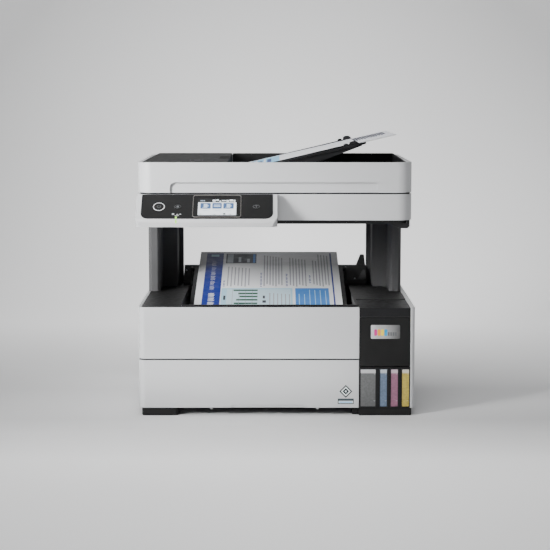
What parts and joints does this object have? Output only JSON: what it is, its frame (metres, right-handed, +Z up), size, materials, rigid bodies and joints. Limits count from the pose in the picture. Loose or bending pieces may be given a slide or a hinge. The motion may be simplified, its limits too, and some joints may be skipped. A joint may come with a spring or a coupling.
{
  "type": "inkjet printer",
  "caption": "Ink-tank multifunction inkjet printer with a front paper cassette, flatbed scanner, document feeder and tilting control panel.",
  "frame": {"origin": "centre of the printer's bounding box in plan, on the table under its feet", "axes": "+X to the printer's right, +Y to its back, +Z up"},
  "size_m": [0.375, 0.3803, 0.3805],
  "materials": {
    "white_plastic": "fine-textured off-white moulded plastic",
    "black_plastic": "fine-textured black moulded plastic",
    "dark_plastic": "dark grey moulded plastic",
    "gloss_black": "gloss black plastic",
    "steel": "bare sheet steel",
    "rubber": "black rubber",
    "belt_rubber": "toothed rubber belt",
    "glass": "clear float glass",
    "ink_black": "translucent tank with black ink",
    "ink_cyan": "translucent tank with cyan ink",
    "ink_magenta": "translucent tank with magenta ink",
    "ink_yellow": "translucent tank with yellow ink",
    "cap_cyan": "cyan cap",
    "cap_magenta": "magenta cap",
    "cap_yellow": "yellow cap",
    "paper": "printed office paper",
    "mat_white": "white foam-backed sheet",
    "lcd": "display under glass"
  },
  "bodies": {
    "base": {"bottom_pan": "dark_plastic", "rubber_feet": "rubber", "left_side_cover": "white_plastic", "right_side_cover": "white_plastic", "rear_cover": "dark_plastic", "front_cover": "white_plastic", "top_frame": "black_plastic", "columns": "black_plastic", "main_frame": "steel", "carriage_shaft": "steel", "carriage_belt": "belt_rubber", "motors": "steel", "platen": "black_plastic", "power_supply": "dark_plastic", "ac_inlet": "black_plastic", "tank_frame": "black_plastic", "tank_black": "ink_black", "tank_cyan": "ink_cyan", "tank_magenta": "ink_magenta", "tank_yellow": "ink_yellow", "scanner_base": "white_plastic", "scanner_pan": "black_plastic", "scanner_glass": "glass", "lid_hinges": "dark_plastic"},
    "cassette": {"cassette_tray": "dark_plastic", "cassette_front": "white_plastic"},
    "cassette_left_guide": {"cassette_left_guide": "dark_plastic"},
    "cassette_right_guide": {"cassette_right_guide": "dark_plastic"},
    "cassette_end_guide": {"cassette_end_guide": "dark_plastic"},
    "ink_cover": {"ink_cover": "gloss_black"},
    "cap_black": {"cap_black": "black_plastic"},
    "cap_cyan": {"cap_cyan": "cap_cyan"},
    "cap_magenta": {"cap_magenta": "cap_magenta"},
    "cap_yellow": {"cap_yellow": "cap_yellow"},
    "carriage": {"carriage": "dark_plastic", "print_head": "black_plastic"},
    "drive_pulley": {"drive_pulley": "steel"},
    "feed_roller": {"feed_roller": "rubber"},
    "exit_roller": {"exit_roller": "rubber"},
    "pickup_roller": {"pickup_roller": "rubber"},
    "output_tray": {"output_tray": "black_plastic"},
    "printed_sheet": {"printed_sheet": "paper"},
    "rear_feed_cover": {"rear_feed_cover": "black_plastic"},
    "cis_bar": {"cis_bar": "dark_plastic"},
    "lid": {"lid_shell": "white_plastic", "adf_well": "black_plastic", "document_mat": "mat_white"},
    "adf_roller": {"adf_roller": "rubber"},
    "adf_cover": {"adf_cover": "gloss_black"},
    "adf_tray": {"adf_tray": "black_plastic"},
    "adf_front_guide": {"adf_front_guide": "black_plastic"},
    "adf_rear_guide": {"adf_rear_guide": "black_plastic"},
    "document_sheets": {"document_sheets": "paper"},
    "panel": {"panel_shell": "white_plastic", "panel_face": "gloss_black", "screen": "lcd"},
    "power_button": {"power_button": "gloss_black"},
    "home_button": {"home_button": "gloss_black"},
    "help_button": {"help_button": "gloss_black"}
  },
  "joints": [
    {"name": "cassette_slide", "type": "slide", "parent": "base", "child": "cassette", "axis": [0, -1, 0], "range_m": [0, 0.25]},
    {"name": "cassette_left_guide_slide", "type": "slide", "parent": "cassette", "child": "cassette_left_guide", "axis": [1, 0, 0], "range_m": [-0.003, 0.05]},
    {"name": "cassette_right_guide_slide", "type": "slide", "parent": "cassette", "child": "cassette_right_guide", "axis": [1, 0, 0], "range_m": [-0.05, 0.003]},
    {"name": "cassette_end_guide_slide", "type": "slide", "parent": "cassette", "child": "cassette_end_guide", "axis": [0, 1, 0], "range_m": [0, 0.12]},
    {"name": "ink_cover_hinge", "type": "hinge", "parent": "base", "child": "ink_cover", "pos_m": [0.1467, -0.1422, 0.0692], "axis": [1, 0, 0], "range_deg": [0, 95]},
    {"name": "cap_black_hinge", "type": "hinge", "parent": "base", "child": "cap_black", "pos_m": [0.1243, -0.0951, 0.0755], "axis": [-1, 0, 0], "range_deg": [0, 100]},
    {"name": "cap_cyan_hinge", "type": "hinge", "parent": "base", "child": "cap_cyan", "pos_m": [0.14525, -0.0951, 0.0755], "axis": [-1, 0, 0], "range_deg": [0, 100]},
    {"name": "cap_magenta_hinge", "type": "hinge", "parent": "base", "child": "cap_magenta", "pos_m": [0.16005, -0.0951, 0.0755], "axis": [-1, 0, 0], "range_deg": [0, 100]},
    {"name": "cap_yellow_hinge", "type": "hinge", "parent": "base", "child": "cap_yellow", "pos_m": [0.17525, -0.0951, 0.0755], "axis": [-1, 0, 0], "range_deg": [0, 100]},
    {"name": "carriage_slide", "type": "slide", "parent": "base", "child": "carriage", "axis": [-1, 0, 0], "range_m": [0, 0.185]},
    {"name": "drive_pulley_spin", "type": "hinge", "parent": "base", "child": "drive_pulley", "pos_m": [0.0935, 0.0802, 0.09], "axis": [0, -1, 0], "range_deg": [-10, 1640]},
    {"name": "feed_roller_spin", "type": "hinge", "parent": "base", "child": "feed_roller", "pos_m": [-0.0365, 0.0674, 0.072], "axis": [1, 0, 0], "continuous": true},
    {"name": "exit_roller_spin", "type": "hinge", "parent": "base", "child": "exit_roller", "pos_m": [-0.0365, 0.0054, 0.072], "axis": [1, 0, 0], "continuous": true},
    {"name": "pickup_roller_spin", "type": "hinge", "parent": "base", "child": "pickup_roller", "pos_m": [-0.0115, 0.1234, 0.06], "axis": [1, 0, 0], "continuous": true},
    {"name": "output_tray_hinge", "type": "hinge", "parent": "base", "child": "output_tray", "pos_m": [-0.0115, 0.1234, 0.1706], "axis": [-1, 0, 0], "range_deg": [0, 12]},
    {"name": "printed_sheet_slide", "type": "slide", "parent": "output_tray", "child": "printed_sheet", "axis": [0, 0.9769, 0.2139], "range_m": [0, 0.1]},
    {"name": "rear_feed_cover_hinge", "type": "hinge", "parent": "base", "child": "rear_feed_cover", "pos_m": [-0.0115, 0.1559, 0.1512], "axis": [-1, 0, 0], "range_deg": [0, 60]},
    {"name": "cis_bar_slide", "type": "slide", "parent": "base", "child": "cis_bar", "axis": [1, 0, 0], "range_m": [0, 0.27]},
    {"name": "lid_hinge", "type": "hinge", "parent": "base", "child": "lid", "pos_m": [-0.0015, 0.1494, 0.3042], "axis": [-1, 0, 0], "range_deg": [0, 70]},
    {"name": "adf_roller_spin", "type": "hinge", "parent": "lid", "child": "adf_roller", "pos_m": [-0.1015, -0.0006, 0.3297], "axis": [0, 1, 0], "continuous": true},
    {"name": "adf_cover_hinge", "type": "hinge", "parent": "lid", "child": "adf_cover", "pos_m": [-0.179, -0.0006, 0.3424], "axis": [0, -1, 0], "range_deg": [0, 70]},
    {"name": "adf_tray_hinge", "type": "hinge", "parent": "lid", "child": "adf_tray", "pos_m": [-0.0965, 0.0054, 0.318], "axis": [0, -1, 0], "range_deg": [-12.5, 0]},
    {"name": "adf_front_guide_slide", "type": "slide", "parent": "adf_tray", "child": "adf_front_guide", "axis": [0, -1, 0], "range_m": [0, 0.003]},
    {"name": "adf_rear_guide_slide", "type": "slide", "parent": "adf_tray", "child": "adf_rear_guide", "axis": [0, -1, 0], "range_m": [-0.003, 0]},
    {"name": "document_sheets_slide", "type": "slide", "parent": "adf_tray", "child": "document_sheets", "axis": [0.9748, 0, 0.2233], "range_m": [0, 0.004]},
    {"name": "panel_tilt", "type": "hinge", "parent": "base", "child": "panel", "pos_m": [-0.0945, -0.1366, 0.286], "axis": [1, 0, 0], "range_deg": [0, 35]},
    {"name": "power_button_press", "type": "slide", "parent": "panel", "child": "power_button", "axis": [0, 0.6334, -0.7738], "range_m": [0, 0.0012], "stiffness_N_per_m": 600, "springref_m": -0.0004},
    {"name": "home_button_press", "type": "slide", "parent": "panel", "child": "home_button", "axis": [0, 0.6334, -0.7738], "range_m": [0, 0.0012], "stiffness_N_per_m": 600, "springref_m": -0.0004},
    {"name": "help_button_press", "type": "slide", "parent": "panel", "child": "help_button", "axis": [0, 0.6334, -0.7738], "range_m": [0, 0.0012], "stiffness_N_per_m": 600, "springref_m": -0.0004}
  ],
  "couplings": [
    {"joint": "cassette_right_guide_slide", "follows": "cassette_left_guide_slide", "ratio": -1},
    {"joint": "drive_pulley_spin", "follows": "carriage_slide", "rad_per_m": 142.86},
    {"joint": "exit_roller_spin", "follows": "feed_roller_spin", "ratio": 1.125},
    {"joint": "adf_rear_guide_slide", "follows": "adf_front_guide_slide", "ratio": -1}
  ]
}
